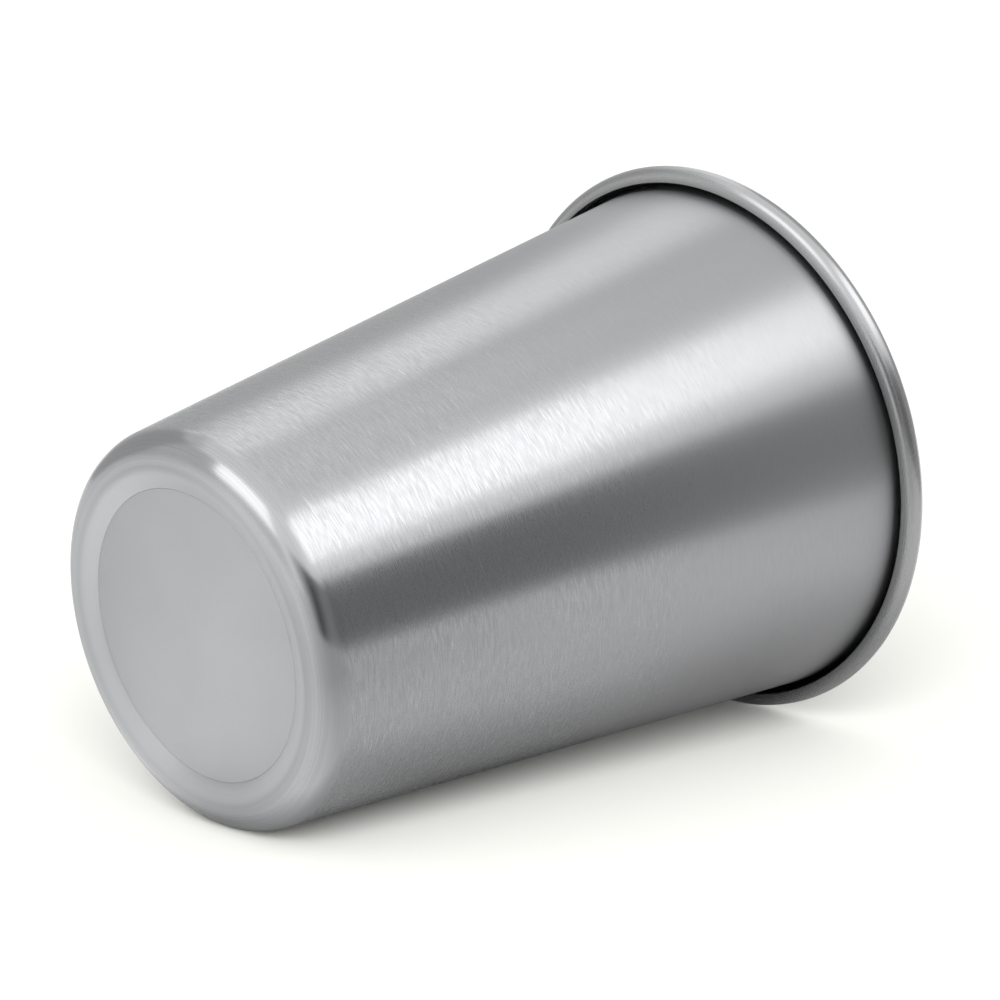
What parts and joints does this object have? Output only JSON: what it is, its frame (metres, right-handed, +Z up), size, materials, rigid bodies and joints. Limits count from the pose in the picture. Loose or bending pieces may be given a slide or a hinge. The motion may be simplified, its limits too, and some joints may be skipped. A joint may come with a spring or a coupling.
{
  "type": "stainless steel cup",
  "caption": "Tapered stainless steel drinking cup with a brushed wall, an outward rolled rim, a rounded heel and a recessed base disc.",
  "frame": {"origin": "middle of the base, on the surface that the cup stands on", "axes": "+Z up along the cup's axis towards the mouth, X and Y across the base"},
  "size_m": [0.082, 0.082, 0.1],
  "materials": {
    "brushed_wall": "satin, brushed round the cup",
    "satin_rim": "smooth satin",
    "turned_heel": "satin with fine turned rings",
    "matt_base": "fine matt"
  },
  "bodies": {
    "root": {"side_wall": "brushed_wall", "rolled_rim": "satin_rim", "heel_ring": "turned_heel", "base_disc": "matt_base"}
  },
  "joints": []
}
